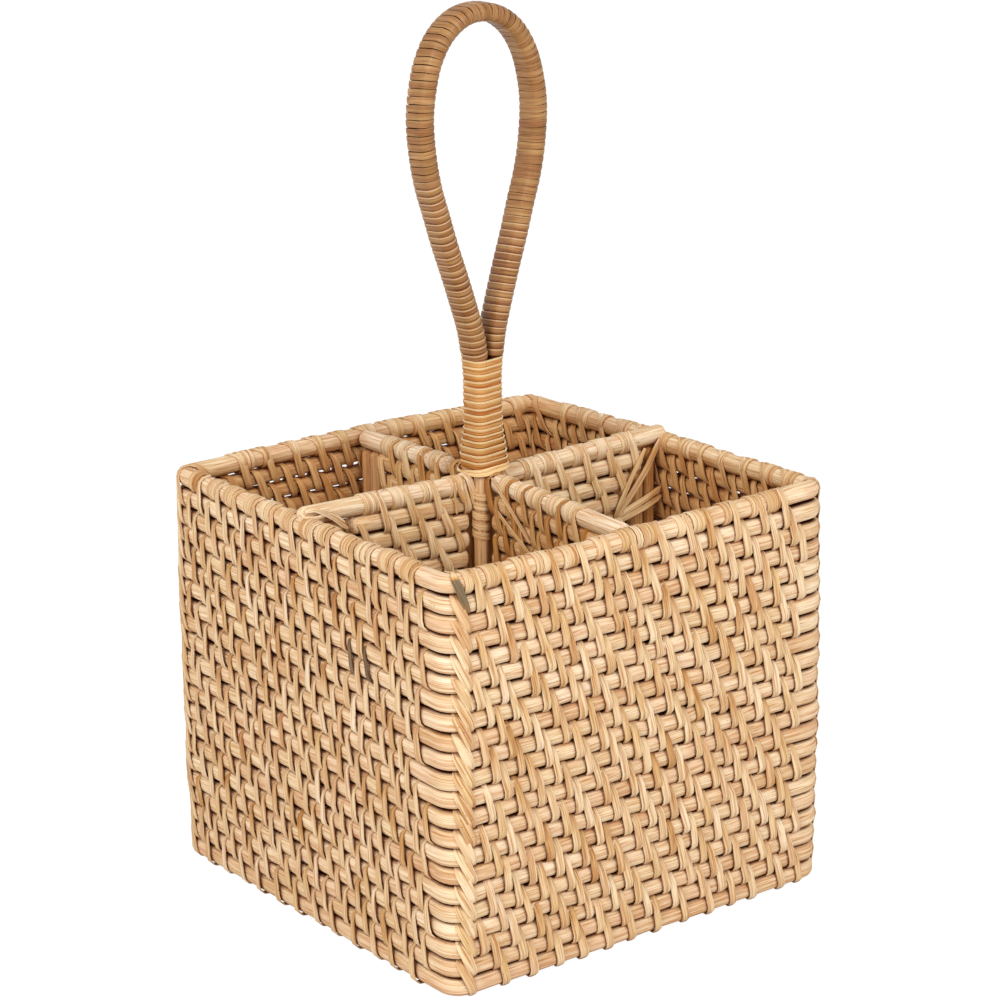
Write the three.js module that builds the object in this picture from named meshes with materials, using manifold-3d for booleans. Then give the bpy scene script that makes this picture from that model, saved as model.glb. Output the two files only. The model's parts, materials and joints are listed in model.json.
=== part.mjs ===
// A square rattan cutlery holder: lashed rod walls, four compartments and a tall teardrop handle.
// Millimetres, +Z up. The origin is the middle of the square underside, on the table.
// +X runs along the wall with the handle's broad face, +Y away from the front wall.

import * as THREE from 'three';
import { mergeVertices } from 'three/addons/utils/BufferGeometryUtils.js';
import Module from 'manifold-3d';

// Walls
const WALL_WIDTH = 160; // between the centre lines of opposite wall rods
const WALL_CORNER_RADIUS = 4.5; // of a rod's centre line
const WALL_BOW = 0.8; // how far the middle courses stand out from the rim
const ROD_DIAMETER = 6.2;
const RIM_DIAMETER = 6.8;
const COURSE_PITCH = 6.75;
const COURSE_COUNT = 22; // the rim rod is the last

// Base mat: one long rod folded back and forth inside the lowest course
const BASE_CLEARANCE = 0.3;

// Dividers
const CROSSING_X = -2.5; // the dividers cross a little off the middle
const CROSSING_Y = 3.5;
const DIVIDER_COURSES = 20;
const LASHING_WEB = 2.4; // thickness of the strips drawn between two divider rods
const ROD_FLAT_SHARE = 0.42; // of the rod's radius, above and below its middle, where its side stands upright
const DIVIDER_POST_GAP = 0.5;
const STAKE_DIAMETER = 5;
const STAKE_WALL_GAP = 0.7;
const STAKE_GAP = 0.4;
const STAND_GAP = 0.3; // between a standing rod and what is under or over it

// Top rods of the dividers
const TOP_ROD_INNER_LIFT = 1.2; // above the rim rod's centre line
const TOP_ROD_RIM_LIFT = 3.8; // where it lies on the rim
const BUTT_ROD_INNER_LIFT = 2;
const BUTT_ROD_RIM_LIFT = 0.4; // where it ends against the rim's inner side
const BACK_ROD_SETBACK = 18.5; // from the crossing to the cut end of the back top rod
const SEAT_GAP = 0.3;

// Handle
const HANDLE_ROD_DIAMETER = 5;
const HANDLE_ROD_GAP = 0.4;
const POST_GAP = 3.4; // between the four posts that the handle rods become
const COLLAR_GAP = 2.2; // between the handle rods where they leave the box
const POST_TOP = 135;
const NECK_BOTTOM = 150.5;
const NECK_TAPER_TOP = 165;
const NECK_TOP = 194;
const LOOP_BOTTOM = 194.5;
const LOOP_TOP = 310.5;
const LOOP_HALF_WIDTH = 23.7;
const HANDLE_PATH_STEPS = 80;

// Windings of split rattan
const WINDING_THICKNESS = 0.45;
const WINDING_CLEARANCE = 0.6;
const WINDING_GAP = 0.7; // between neighbouring turns
const LOOP_WINDING_TURNS = 22;
const LOOP_WINDING_START = 3.9; // the legs are this far from the middle where it begins
const NECK_WINDING_TURNS = 14;
const COLLAR_HEIGHT = 3;
const COLLAR_THICKNESS = 0.9;
const COLLAR_TILT = 0.5;

// Shares of LOOP_HALF_WIDTH and of the loop's height, from one leg's foot to the top of the loop
const LOOP_OUTLINE_SHARES = [
	[0.19, 0.05],
	[0.52, 0.285],
	[0.8, 0.466],
	[0.98, 0.63],
	[1, 0.75],
	[0.885, 0.868],
	[0.62, 0.95],
	[0.32, 0.988]
];

const ROD_SIDES = 8;
const CORNER_STEPS = 2;
const TURN_STEPS = 4;
const OVERRUN = 10; // how far a cutting shape runs past what it cuts

const rodRadius = ROD_DIAMETER / 2;
const rimRadius = RIM_DIAMETER / 2;
const stakeRadius = STAKE_DIAMETER / 2;
const handleRadius = HANDLE_ROD_DIAMETER / 2;
const handleSpacing = HANDLE_ROD_DIAMETER + HANDLE_ROD_GAP;
const postSpacing = HANDLE_ROD_DIAMETER + POST_GAP;
const collarSpacing = HANDLE_ROD_DIAMETER + COLLAR_GAP;
const wallHalf = WALL_WIDTH / 2;
const rimHeight = courseHeight( COURSE_COUNT - 1 );
const wallInside = wallHalf - rodRadius;
const dividerTop = courseHeight( DIVIDER_COURSES ) + rodRadius;
const standHeight = ROD_DIAMETER + STAND_GAP; // what stands in the box stands on the base
const postReach = postSpacing / 2 + handleRadius; // from the crossing to a post's far side
const outerStake = wallInside - STAKE_WALL_GAP - stakeRadius;
const innerStake = outerStake - STAKE_DIAMETER - STAKE_GAP;
const dividerEnd = innerStake - stakeRadius - STAKE_GAP;
const dividerStart = postReach + DIVIDER_POST_GAP;

const rattanCore = { color: 0xd9b98c, roughness: 0.75, metalness: 0 };
const rattanPeel = { color: 0xc4935a, roughness: 0.6, metalness: 0 };

const wasm = await Module();
wasm.setup();

function courseHeight( course ) {

	return rodRadius + COURSE_PITCH * course;

}

// The middle courses bow out a little, as hand-lashed walls do.
function courseHalf( course ) {

	return wallHalf + WALL_BOW * Math.sin( Math.PI * course / ( COURSE_COUNT - 1 ) );

}

// A regular section with a flat side facing down, flat to flat 2 * radius.
function flatSection( radius, sides = ROD_SIDES ) {

	const corner = radius / Math.cos( Math.PI / sides );
	return Array.from( { length: sides }, ( _, i ) => {

		const angle = Math.PI * ( 2 * i + 1 ) / sides;
		return [ corner * Math.sin( angle ), corner * Math.cos( angle ) ];

	} );

}

// A regular section whose corners lie on the radius.
function cornerSection( radius, sides = ROD_SIDES ) {

	return Array.from( { length: sides }, ( _, i ) => {

		const angle = 2 * Math.PI * i / sides;
		return [ radius * Math.sin( angle ), radius * Math.cos( angle ) ];

	} );

}

// Joins equal rings of points into one closed body: a loop if closed, otherwise with two end caps.
function skinRings( rings, closed ) {

	const count = rings[ 0 ].length;
	const positions = rings.flat().flatMap( ( p ) => [ p.x, p.y, p.z ] );
	const index = [];
	const last = closed ? rings.length : rings.length - 1;
	for ( let r = 0; r < last; r ++ ) {

		const a = r * count;
		const b = ( ( r + 1 ) % rings.length ) * count;
		for ( let i = 0; i < count; i ++ ) {

			const j = ( i + 1 ) % count;
			index.push( a + i, a + j, b + j, a + i, b + j, b + i );

		}

	}

	if ( ! closed ) {

		const end = ( rings.length - 1 ) * count;
		for ( let i = 1; i < count - 1; i ++ ) {

			index.push( 0, i + 1, i );
			index.push( end, end + i, end + i + 1 );

		}

	}

	const geometry = new THREE.BufferGeometry();
	geometry.setAttribute( 'position', new THREE.Float32BufferAttribute( positions, 3 ) );
	geometry.setIndex( signedVolume( positions, index ) < 0 ? index.reverse() : index );
	return geometry;

}

function signedVolume( positions, index ) {

	const corner = ( i ) => new THREE.Vector3().fromArray( positions, 3 * i );
	let volume = 0;
	for ( let t = 0; t < index.length; t += 3 ) {

		volume += corner( index[ t ] ).dot( corner( index[ t + 1 ] ).cross( corner( index[ t + 2 ] ) ) );

	}

	return volume;

}

// Sweeps a section along points. The section's second axis stays as near to up as it can.
function sweepRod( points, up, section, closed = false ) {

	const rings = points.map( ( point, i ) => {

		const before = points[ closed ? ( i + points.length - 1 ) % points.length : Math.max( i - 1, 0 ) ];
		const after = points[ closed ? ( i + 1 ) % points.length : Math.min( i + 1, points.length - 1 ) ];
		const into = point.clone().sub( before ).normalize();
		const out = after.clone().sub( point ).normalize();
		const along = into.clone().add( out ).normalize();
		const bend = into.lengthSq() > 0 && out.lengthSq() > 0 ? along.dot( out ) : 1;
		const side = along.clone().cross( up ).normalize();
		const upward = side.clone().cross( along );
		return section.map( ( [ across, high ] ) => point.clone()
			.addScaledVector( side, across / bend )
			.addScaledVector( upward, high ) );

	} );
	return skinRings( rings, closed );

}

// The points of a square with round corners, level at one height.
function roundedSquare( half, radius, height, steps ) {

	const points = [];
	for ( let corner = 0; corner < 4; corner ++ ) {

		const start = corner * Math.PI / 2;
		const centre = new THREE.Vector2( half - radius, half - radius ).rotateAround( new THREE.Vector2(), start );
		for ( let i = 0; i <= steps; i ++ ) {

			const angle = start + ( Math.PI / 2 ) * i / steps;
			points.push( new THREE.Vector3(
				centre.x + radius * Math.cos( angle ), centre.y + radius * Math.sin( angle ), height ) );

		}

	}

	return points;

}

function toSolid( geometry ) {

	const bare = geometry.clone();
	bare.deleteAttribute( 'normal' );
	bare.deleteAttribute( 'uv' );
	const merged = mergeVertices( bare );
	return new wasm.Manifold( new wasm.Mesh( {
		numProp: 3,
		vertProperties: new Float32Array( merged.attributes.position.array ),
		triVerts: new Uint32Array( merged.index.array )
	} ) );

}

function fromSolid( solid ) {

	const mesh = solid.getMesh();
	const geometry = new THREE.BufferGeometry();
	geometry.setAttribute( 'position', new THREE.BufferAttribute( new Float32Array( mesh.vertProperties ), 3 ) );
	geometry.setIndex( new THREE.BufferAttribute( new Uint32Array( mesh.triVerts ), 1 ) );
	return geometry;

}

function addPiece( group, name, geometry, finish ) {

	const mesh = new THREE.Mesh( geometry, new THREE.MeshStandardMaterial( finish ) );
	mesh.name = name;
	group.add( mesh );
	return mesh;

}

// Each wall course is one rod bent round four corners, its scarfed ends closed under the lashing.
function makeWalls() {

	const group = new THREE.Group();
	for ( let course = 0; course < COURSE_COUNT; course ++ ) {

		const isRim = course === COURSE_COUNT - 1;
		const path = roundedSquare( courseHalf( course ), WALL_CORNER_RADIUS, courseHeight( course ), CORNER_STEPS );
		const section = flatSection( isRim ? rimRadius : rodRadius );
		const name = isRim ? 'rim_rod' : `wall_rod_${ String( course + 1 ).padStart( 2, '0' ) }`;
		addPiece( group, name, sweepRod( path, new THREE.Vector3( 0, 0, 1 ), section, true ), rattanCore );

	}

	return group;

}

// The floor of the box: a rod that runs to and fro with tight turns at both sides.
function makeBase() {

	const group = new THREE.Group();
	const reach = wallInside - BASE_CLEARANCE;
	const turnRadius = COURSE_PITCH / 2;
	const runs = Math.floor( 2 * ( reach - rodRadius ) / COURSE_PITCH ) + 1;
	const runEnd = reach - rodRadius - turnRadius;
	const path = [];
	for ( let run = 0; run < runs; run ++ ) {

		const y = ( run - ( runs - 1 ) / 2 ) * COURSE_PITCH;
		const direction = run % 2 === 0 ? 1 : - 1;
		if ( run === 0 ) path.push( new THREE.Vector3( - direction * runEnd, y, rodRadius ) );
		if ( run === runs - 1 ) {

			path.push( new THREE.Vector3( direction * runEnd, y, rodRadius ) );
			continue;

		}

		for ( let i = 0; i <= TURN_STEPS; i ++ ) {

			const angle = Math.PI * i / TURN_STEPS;
			path.push( new THREE.Vector3(
				direction * ( runEnd + turnRadius * Math.sin( angle ) ),
				y + turnRadius * ( 1 - Math.cos( angle ) ),
				rodRadius ) );

		}

	}

	const section = flatSection( rodRadius );
	addPiece( group, 'base_rod', sweepRod( path, new THREE.Vector3( 0, 0, 1 ), section ), rattanCore );
	return group;

}

// Half a divider: stacked rods with their lashing drawn tight between them, seen along the rods.
function dividerShape() {

	const flat = ROD_FLAT_SHARE * rodRadius;
	const right = [ [ rodRadius / 2, standHeight ] ];
	for ( let course = 1; course <= DIVIDER_COURSES; course ++ ) {

		const height = courseHeight( course );
		if ( course > 1 ) right.push( [ LASHING_WEB / 2, height - COURSE_PITCH / 2 ] );
		right.push( [ rodRadius, height - flat ], [ rodRadius, height + flat ] );

	}

	right.push( [ rodRadius / 2, dividerTop ] );
	const left = right.map( ( [ width, height ] ) => [ - width, height ] ).reverse();
	return new THREE.Shape( [ ...right, ...left ].map( ( [ x, y ] ) => new THREE.Vector2( x, y ) ) );

}

// A divider half runs from the posts at the crossing to the stakes at its wall.
// The group turns so that local +X points from the crossing to the wall.
function makeDividerHalf( name, turn, wallDistance, topRod ) {

	const group = new THREE.Group();
	group.position.set( CROSSING_X, CROSSING_Y, 0 );
	group.rotation.z = turn;
	const shift = wallDistance - wallHalf; // this wall is nearer or farther than half the box

	const panel = new THREE.ExtrudeGeometry( dividerShape(), {
		depth: dividerEnd + shift - dividerStart,
		bevelEnabled: false
	} );
	panel.rotateX( Math.PI / 2 );
	panel.rotateZ( Math.PI / 2 );
	panel.translate( dividerStart, 0, 0 );
	addPiece( group, `divider_${ name }`, panel, rattanCore );

	const topHeight = ( x ) => THREE.MathUtils.mapLinear(
		x, topRod.start, wallDistance, rimHeight + topRod.innerLift, rimHeight + topRod.rimLift );
	const topRodUnderside = ( x ) => topHeight( x ) - rodRadius - Math.abs( topHeight( x ) - topHeight( x + stakeRadius ) );
	const rod = makeTopRod( topRod, wallDistance, topHeight );
	addPiece( group, `divider_${ name }_top_rod`, rod, rattanCore );

	for ( const [ place, stake ] of [ [ 'outer', outerStake ], [ 'inner', innerStake ] ] ) {

		const x = stake + shift;
		const bottom = standHeight;
		const top = topRodUnderside( x ) - STAND_GAP;
		const points = [ new THREE.Vector3( x, 0, bottom ), new THREE.Vector3( x, 0, top ) ];
		const upright = sweepRod( points, new THREE.Vector3( 0, 1, 0 ), flatSection( stakeRadius ) );
		addPiece( group, `divider_${ name }_${ place }_stake`, upright, rattanCore );

	}

	return group;

}

// A top rod either lies on the rim, with its underside shaved to fit, or ends inside it.
function makeTopRod( topRod, wallDistance, topHeight ) {

	const end = topRod.overRim ? wallDistance + rimRadius : wallDistance - rimRadius - SEAT_GAP;
	const points = [ topRod.start, end ].map( ( x ) => new THREE.Vector3( x, 0, topHeight( x ) ) );
	const rod = sweepRod( points, new THREE.Vector3( 0, 0, 1 ), flatSection( rodRadius ) );
	if ( ! topRod.overRim ) return squareEnd( rod, end );
	const seat = new THREE.CylinderGeometry( rimRadius + SEAT_GAP, rimRadius + SEAT_GAP, 2 * OVERRUN, 2 * ROD_SIDES );
	seat.translate( 0, 0, 0 );
	const cutter = toSolid( seat ).translate( [ wallDistance, 0, rimHeight ] );
	const underRim = new THREE.BoxGeometry( 2 * OVERRUN, 2 * OVERRUN, OVERRUN );
	underRim.translate( wallDistance - rimRadius - SEAT_GAP + OVERRUN, 0, rimHeight - OVERRUN / 2 );
	return fromSolid( toSolid( rod ).subtract( cutter ).subtract( toSolid( underRim ) ) );

}

// Trims a sloping rod so that its end face stands upright.
function squareEnd( rod, end ) {

	const block = new THREE.BoxGeometry( 2 * OVERRUN, 2 * OVERRUN, 2 * OVERRUN );
	block.translate( end + OVERRUN - SEAT_GAP, 0, rimHeight );
	return fromSolid( toSolid( rod ).subtract( toSolid( block ) ) );

}

// One side of the handle's centre line, from the foot of a post up to the top of the loop.
// spread is the sign of y: the front rod runs at -1 and the back rod at +1.
function handleSide( spread ) {

	const at = ( spacing, height ) => [ spacing / 2, spread * spacing / 2, height ];
	const neck = [
		at( postSpacing, standHeight ),
		at( postSpacing, POST_TOP / 2 ),
		at( postSpacing, POST_TOP ),
		at( collarSpacing, NECK_BOTTOM ),
		at( handleSpacing, NECK_TAPER_TOP ),
		at( handleSpacing, ( NECK_TAPER_TOP + NECK_TOP ) / 2 ),
		at( handleSpacing, NECK_TOP )
	];
	const loop = LOOP_OUTLINE_SHARES.map( ( [ wide, high ] ) => [
		wide * LOOP_HALF_WIDTH,
		spread * handleSpacing / 2,
		THREE.MathUtils.lerp( LOOP_BOTTOM, LOOP_TOP, high )
	] );
	return [ ...neck, ...loop ];

}

function handleCurve( spread ) {

	const side = handleSide( spread );
	const top = [ 0, spread * handleSpacing / 2, LOOP_TOP ];
	const mirrored = side.map( ( [ x, y, z ] ) => [ - x, y, z ] ).reverse();
	const points = [ ...side, top, ...mirrored ].map( ( [ x, y, z ] ) => new THREE.Vector3( x, y, z ) );
	return new THREE.CatmullRomCurve3( points, false, 'centripetal' );

}

// Follows the curve with few steps on its straight posts and many round the loop.
function handlePath( spread ) {

	const curve = handleCurve( spread );
	const fine = curve.getPoints( HANDLE_PATH_STEPS * TURN_STEPS );
	const path = [ fine[ 0 ] ];
	for ( let i = 1; i < fine.length - 1; i ++ ) {

		const kept = path[ path.length - 1 ];
		const from = fine[ i ].clone().sub( kept );
		const to = fine[ i + 1 ].clone().sub( fine[ i ] );
		const turned = from.angleTo( to ) > Math.PI / ( 8 * ROD_SIDES );
		if ( turned && from.length() > handleRadius ) path.push( fine[ i ] );

	}

	path.push( fine[ fine.length - 1 ] );
	return path;

}

// A ribbon wound round a carrier. place(share, turnShare, width, rise) gives one of its points.
function windRibbon( turns, steps, section, place, label ) {

	const total = turns * steps;
	const rings = [];
	for ( let i = 0; i <= total; i ++ ) {

		rings.push( section.map( ( [ width, rise ] ) => place( i / total, ( i % steps ) / steps, width, rise ) ) );

	}

	let gap = Infinity;
	for ( let i = 0; i + steps < rings.length; i ++ ) {

		for ( const p of rings[ i ] ) for ( const q of rings[ i + steps ] ) gap = Math.min( gap, p.distanceTo( q ) );

	}

	console.log( `${ label }: least gap between turns ${ gap.toFixed( 2 ) } mm` );
	return skinRings( rings, false );

}

// The outline that a strip takes round rods standing at the corners of a rectangle.
function wrapOutline( halfX, halfY, radius, cornerSteps ) {

	const points = [];
	for ( let corner = 0; corner < 4; corner ++ ) {

		const signX = corner === 0 || corner === 3 ? 1 : - 1;
		const signY = corner < 2 ? 1 : - 1;
		for ( let i = 0; i <= cornerSteps; i ++ ) {

			const angle = ( corner + i / cornerSteps ) * Math.PI / 2;
			points.push( [ signX * halfX + radius * Math.cos( angle ), signY * halfY + radius * Math.sin( angle ) ] );

		}

	}

	return points;

}

function neckSpacing( height ) {

	const taper = THREE.MathUtils.mapLinear( height, NECK_BOTTOM, NECK_TAPER_TOP, collarSpacing, handleSpacing );
	return Math.max( taper, handleSpacing );

}

function ribbonSection( width, steps ) {

	const low = handleRadius + WINDING_CLEARANCE;
	const high = low + WINDING_THICKNESS;
	const across = Array.from( { length: steps + 1 }, ( _, i ) => width * ( i / steps - 1 / 2 ) );
	return [ ...across.map( ( w ) => [ w, low ] ), ...across.reverse().map( ( w ) => [ w, high ] ) ];

}

function makeNeckWinding() {

	const bottom = NECK_BOTTOM + COLLAR_HEIGHT + WINDING_GAP;
	const pitch = ( NECK_TOP - bottom ) / ( NECK_WINDING_TURNS + 1 );
	const cornerSteps = 2;
	const steps = 4 * ( cornerSteps + 1 );
	const place = ( share, turnShare, width, rise ) => {

		const height = bottom + pitch / 2 + share * NECK_WINDING_TURNS * pitch + width;
		const half = neckSpacing( height ) / 2;
		const [ x, y ] = wrapOutline( half, half, rise, cornerSteps )[ Math.round( turnShare * steps ) % steps ];
		return new THREE.Vector3( x, y, height );

	};

	const section = ribbonSection( pitch - WINDING_GAP, 1 );
	return windRibbon( NECK_WINDING_TURNS, steps, section, place, 'neck winding' );

}

function makeLoopWinding() {

	const curve = handleCurve( 0 );
	const length = curve.getLength();
	const samples = curve.getSpacedPoints( HANDLE_PATH_STEPS * TURN_STEPS );
	const isLeg = ( p ) => p.z > NECK_TOP && Math.abs( p.x ) > LOOP_WINDING_START;
	const first = samples.findIndex( isLeg ) / ( samples.length - 1 ) * length;
	const run = length - 2 * first;
	const pitch = run / ( LOOP_WINDING_TURNS + 1 );
	const cornerSteps = 3;
	const steps = 2 * ( 2 * cornerSteps + 1 );
	const outline = ( radius ) => {

		const points = wrapOutline( 0, handleSpacing / 2, radius, cornerSteps );
		const doubled = ( p, i ) => i > 0 && Math.hypot( p[ 0 ] - points[ i - 1 ][ 0 ], p[ 1 ] - points[ i - 1 ][ 1 ] ) === 0;
		return points.filter( ( p, i ) => ! doubled( p, i ) );

	};

	const place = ( share, turnShare, width, rise ) => {

		const along = first + pitch / 2 + share * LOOP_WINDING_TURNS * pitch + width;
		const u = along / length;
		const centre = curve.getPointAt( u );
		const tangent = curve.getTangentAt( u );
		const outward = new THREE.Vector3( 0, 1, 0 ).cross( tangent ).normalize();
		const [ across, deep ] = outline( rise )[ Math.round( turnShare * steps ) % steps ];
		return centre.addScaledVector( outward, across ).add( new THREE.Vector3( 0, deep, 0 ) );

	};

	const section = ribbonSection( pitch - WINDING_GAP, 2 );
	return windRibbon( LOOP_WINDING_TURNS, steps, section, place, 'loop winding' );

}

// A flat strip tied round the neck's foot, a little askew.
function makeCollar() {

	const half = collarSpacing / 2;
	const low = handleRadius + WINDING_CLEARANCE;
	const cornerSteps = 2;
	const inner = wrapOutline( half, half, low, cornerSteps );
	const outer = wrapOutline( half, half, low + COLLAR_THICKNESS, cornerSteps );
	const rings = inner.map( ( [ x, y ], i ) => {

		const tilt = COLLAR_TILT * x / ( half + low );
		const bottom = NECK_BOTTOM + COLLAR_TILT + tilt;
		const top = bottom + COLLAR_HEIGHT - 2 * COLLAR_TILT;
		const [ wideX, wideY ] = outer[ i ];
		return [
			new THREE.Vector3( x, y, bottom ),
			new THREE.Vector3( wideX, wideY, bottom ),
			new THREE.Vector3( wideX, wideY, top ),
			new THREE.Vector3( x, y, top )
		];

	} );
	return skinRings( rings, true );

}

// Two rods, each bent double into a teardrop, run down the neck and on to the floor as four posts.
function makeHandle() {

	const group = new THREE.Group();
	group.position.set( CROSSING_X, CROSSING_Y, 0 );
	const across = new THREE.Vector3( 0, 1, 0 );
	const section = cornerSection( handleRadius );
	addPiece( group, 'handle_rod_front', sweepRod( handlePath( - 1 ), across, section ), rattanCore );
	addPiece( group, 'handle_rod_back', sweepRod( handlePath( 1 ), across, section ), rattanCore );
	addPiece( group, 'handle_loop_winding', makeLoopWinding(), rattanPeel );
	addPiece( group, 'handle_neck_winding', makeNeckWinding(), rattanPeel );
	addPiece( group, 'handle_collar', makeCollar(), rattanPeel );
	return group;

}

function makeDividers() {

	const group = new THREE.Group();
	const overRim = { start: dividerStart, innerLift: TOP_ROD_INNER_LIFT, rimLift: TOP_ROD_RIM_LIFT, overRim: true };
	const butting = { start: dividerStart, innerLift: BUTT_ROD_INNER_LIFT, rimLift: BUTT_ROD_RIM_LIFT, overRim: false };
	const backButting = { ...butting, start: BACK_ROD_SETBACK };
	const quarter = Math.PI / 2;
	group.add( makeDividerHalf( 'right', 0, wallHalf - CROSSING_X, overRim ) );
	group.add( makeDividerHalf( 'back', quarter, wallHalf - CROSSING_Y, backButting ) );
	group.add( makeDividerHalf( 'left', 2 * quarter, wallHalf + CROSSING_X, overRim ) );
	group.add( makeDividerHalf( 'front', 3 * quarter, wallHalf + CROSSING_Y, butting ) );
	return group;

}

const cutleryHolder = new THREE.Group();
cutleryHolder.name = 'cutlery_holder';
cutleryHolder.add( makeWalls() );
cutleryHolder.add( makeBase() );
cutleryHolder.add( makeDividers() );
cutleryHolder.add( makeHandle() );

export default cutleryHolder;
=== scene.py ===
# %% [markdown]
# # A lashed rattan cutlery holder
# Rattan is a climbing palm. Its thin round core is bent into the rods of this box, and its
# outer skin is split into flat strips that lash the rods together. Everything here is one of
# those two things, so the lesson makes a rod and a strip once, and then lays them along routes.

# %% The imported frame
import functools
import json
import math

import bpy
import numpy as np
from mathutils import Matrix, Vector

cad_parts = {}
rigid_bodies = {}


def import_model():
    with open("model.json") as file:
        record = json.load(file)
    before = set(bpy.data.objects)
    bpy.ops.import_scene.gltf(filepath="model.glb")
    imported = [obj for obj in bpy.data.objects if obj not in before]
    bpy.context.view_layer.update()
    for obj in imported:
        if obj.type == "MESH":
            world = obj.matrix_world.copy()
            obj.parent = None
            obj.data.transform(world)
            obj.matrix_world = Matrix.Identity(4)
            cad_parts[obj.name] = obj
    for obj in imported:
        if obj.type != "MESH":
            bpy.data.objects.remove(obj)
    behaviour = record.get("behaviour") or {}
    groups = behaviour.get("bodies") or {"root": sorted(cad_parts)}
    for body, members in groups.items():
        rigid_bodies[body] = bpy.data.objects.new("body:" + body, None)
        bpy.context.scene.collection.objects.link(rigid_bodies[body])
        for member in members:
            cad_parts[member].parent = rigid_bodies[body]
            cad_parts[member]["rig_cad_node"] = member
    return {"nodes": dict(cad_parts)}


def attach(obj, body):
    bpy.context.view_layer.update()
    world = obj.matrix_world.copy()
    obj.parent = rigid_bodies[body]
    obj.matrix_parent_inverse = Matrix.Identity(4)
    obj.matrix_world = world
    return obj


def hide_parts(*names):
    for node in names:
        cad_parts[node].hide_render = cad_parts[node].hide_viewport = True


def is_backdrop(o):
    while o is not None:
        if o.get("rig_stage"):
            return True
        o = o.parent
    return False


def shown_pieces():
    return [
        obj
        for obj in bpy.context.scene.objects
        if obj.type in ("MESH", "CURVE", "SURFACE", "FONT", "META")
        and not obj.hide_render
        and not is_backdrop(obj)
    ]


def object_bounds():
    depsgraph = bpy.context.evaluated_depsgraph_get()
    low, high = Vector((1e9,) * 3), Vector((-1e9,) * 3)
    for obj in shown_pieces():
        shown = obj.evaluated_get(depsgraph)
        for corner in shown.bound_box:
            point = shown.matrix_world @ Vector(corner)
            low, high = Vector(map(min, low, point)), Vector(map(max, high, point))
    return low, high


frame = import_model()
cad_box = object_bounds()
MM = 0.001
print("CAD nodes:", len(frame["nodes"]))

# %% [markdown]
# ## Sizes
# All sizes are millimetres and follow the solids of the part: 22 courses of rod, lashed in
# rows of stitches.

# %% Sizes of the box
WALL_HALF = 80.0
CORNER_RADIUS = 4.5
WALL_BOW = 0.8
ROD = 6.2
ROD_FULL = 6.7  # the rods swell a little between their stitches
RIM_ROD = 6.8
COURSE_PITCH = 6.75
COURSES = 22
CROSSING = np.array([-2.5, 3.5, 0.0])

SIDE_STRAIGHT = 2 * (WALL_HALF - CORNER_RADIUS)
SIDE_BEND = CORNER_RADIUS * math.pi / 2
SIDE = SIDE_STRAIGHT + SIDE_BEND
AROUND = 4 * SIDE
RIM_HEIGHT = ROD / 2 + COURSE_PITCH * (COURSES - 1)
STRIP_THICKNESS = 0.42
CLEARANCE = 0.05  # between a strip and the rod under it
# The rim isn't level. How it rises at corners and mid-sides, from the far corner by the left:
RIM_RISES = [-1.5, 0.4, 0.3, 0.0, 0.0, 0.2, 1.2, 0.2, -1.5]

chance = np.random.default_rng(23)
print("one course is", round(AROUND), "mm long")

# %% [markdown]
# ## Helpers for meshes and routes
# A new primitive is selected all over and the CAD nodes stay selected, so everything is
# deselected first. The points of a mesh are read and written as one table in millimetres.
# A route is a table of stations.


# %% Mesh and route helpers
def deselect():
    bpy.ops.object.select_all(action="DESELECT")


def activate(piece):
    deselect()
    piece.select_set(True)
    bpy.context.view_layer.objects.active = piece


def points_of(piece):
    table = np.empty(len(piece.data.vertices) * 3)
    piece.data.vertices.foreach_get("co", table)
    return table.reshape(-1, 3) / MM


def set_points(piece, table):
    piece.data.vertices.foreach_set("co", (table * MM).ravel())
    piece.data.update()


def note(piece, name, values):
    """Keeps a value or a vector for every point."""
    kind, key = ("FLOAT_VECTOR", "vector") if values.ndim == 2 else ("FLOAT", "value")
    attribute = piece.data.attributes.new(name, kind, "POINT")
    attribute.data.foreach_set(key, values.astype(np.float32).ravel())


def unit(vectors):
    return vectors / np.maximum(np.linalg.norm(vectors, axis=-1, keepdims=True), 1e-9)


def travel_along(route):
    """How far along the route each station is."""
    return np.concatenate([[0], np.cumsum(np.linalg.norm(np.diff(route, axis=0), axis=1))])


def carried_on(route):
    """The route with one more station, straight ahead, at both ends."""
    return np.vstack([2 * route[0] - route[1], route, 2 * route[-1] - route[-2]])


def join(name, parts):
    deselect()
    for part in parts:
        part.select_set(True)
    bpy.context.view_layer.objects.active = parts[0]
    bpy.ops.object.join()
    parts[0].name = parts[0].data.name = name
    return parts[0]


# %% [markdown]
# ## A rod
# A cylinder is added along X and cut into short lengths, so that it can bend. One subdivision
# makes at most 100 cuts, so the rod is cut into long parts and these are cut again. Each ring
# of points then moves to its station. `girth` thins the rod where its end is rubbed round.
# Lashed rods press on each other, so their section is a little squarer than a circle. The
# straight shape is noted as "lay", which the grain follows: the fibres bend with the rod.


# %% Rods
ROD_SIDES = 16
MOST_CUTS = 100
SQUARENESS = 2.9
END_LENGTH = 0.62  # how far a rounded end reaches, as a share of the radius
# Edges are chosen, not points: with every point chosen, the rings would be cut as well.
bpy.context.scene.tool_settings.mesh_select_mode = (False, True, False)


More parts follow.
